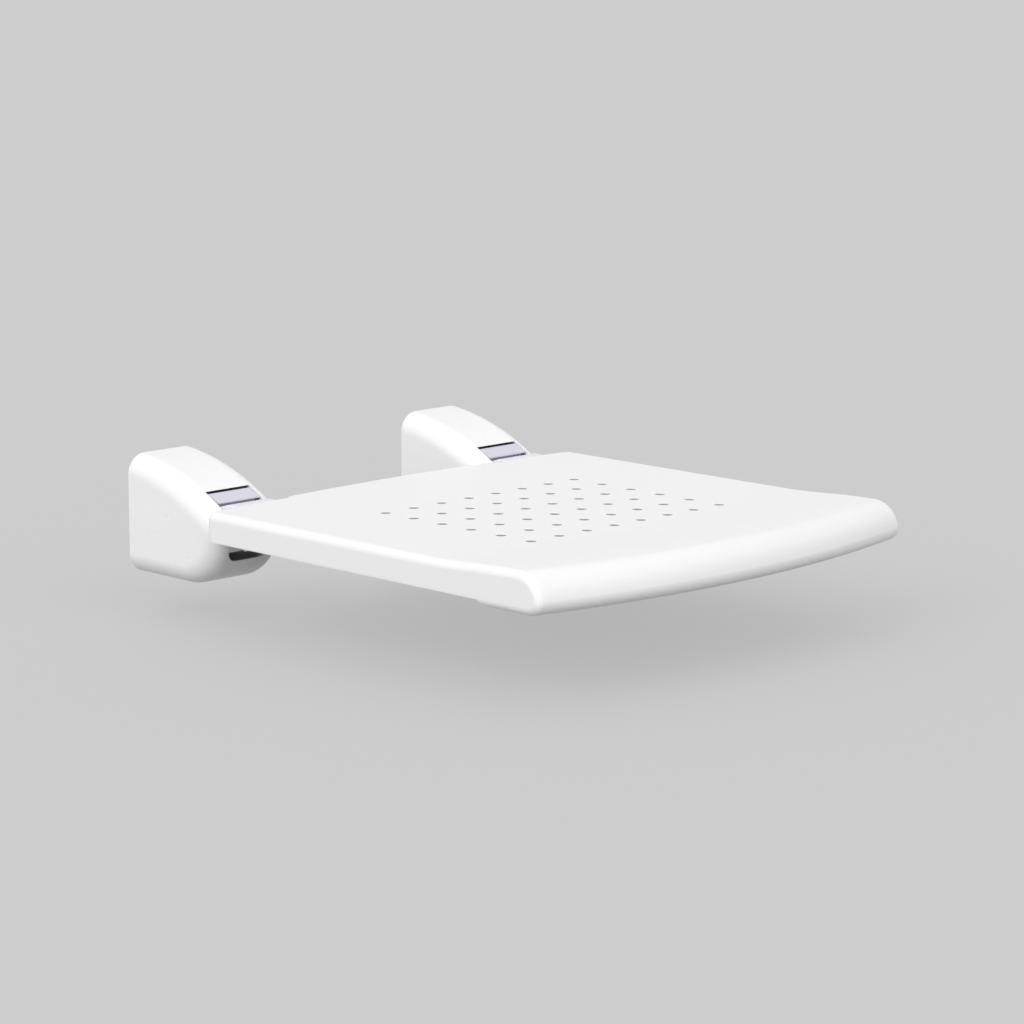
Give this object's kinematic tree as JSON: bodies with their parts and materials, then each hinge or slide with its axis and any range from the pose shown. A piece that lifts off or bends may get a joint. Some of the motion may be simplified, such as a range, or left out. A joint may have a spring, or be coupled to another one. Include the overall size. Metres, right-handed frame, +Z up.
{
  "type": "fold down wall seat",
  "caption": "Perforated moulded seat on two arms that fold up about hinge pins in two wall brackets with rounded covers.",
  "frame": {"origin": "on the wall's face, mid-way between the two brackets, at the middle height of their wall fixings", "axes": "+Y into the wall, so the seat stands out toward -Y; +Z up; +X along the wall"},
  "size_m": [0.432, 0.5379, 0.1056],
  "materials": {
    "seat": "satin white moulded plastic",
    "cover": "satin white moulded plastic",
    "arm": "pale grey powder coat",
    "arm_cap": "pale grey moulded plastic",
    "bracket_metal": "fine cast",
    "gasket": "matt sheet rubber",
    "fastener": "stainless",
    "pin": "ground stainless",
    "bearing": "natural acetal",
    "stop_rubber": "matt moulded rubber",
    "tube": "anodised",
    "plug": "moulded grey"
  },
  "bodies": {
    "wall_brackets": {"wall_gasket_left": "gasket", "wall_plate_left": "bracket_metal", "cover_left": "cover", "cover_screws_left": "fastener", "hinge_pin_left": "pin", "pin_ring_left": "pin", "friction_washers_left": "bearing", "stop_screw_left": "fastener", "stop_nut_left": "fastener", "stop_pad_left": "stop_rubber", "wall_gasket_right": "gasket", "wall_plate_right": "bracket_metal", "cover_right": "cover", "cover_screws_right": "fastener", "hinge_pin_right": "pin", "pin_ring_right": "pin", "friction_washers_right": "bearing", "stop_screw_right": "fastener", "stop_nut_right": "fastener", "stop_pad_right": "stop_rubber"},
    "seat": {"pivot_bushes_left": "bearing", "hinge_arm_left": "arm", "arm_cap_left": "arm_cap", "arm_screws_left": "fastener", "pivot_bushes_right": "bearing", "hinge_arm_right": "arm", "arm_cap_right": "arm_cap", "arm_screws_right": "fastener", "seat_shell": "seat", "rear_tube": "tube", "front_tube": "tube", "tube_plugs": "plug", "tube_pins": "pin"}
  },
  "joints": [
    {"name": "seat_fold", "type": "hinge", "parent": "wall_brackets", "child": "seat", "pos_m": [0, -0.0985, 0.0025], "axis": [-1, 0, 0], "range_deg": [0, 92]}
  ]
}
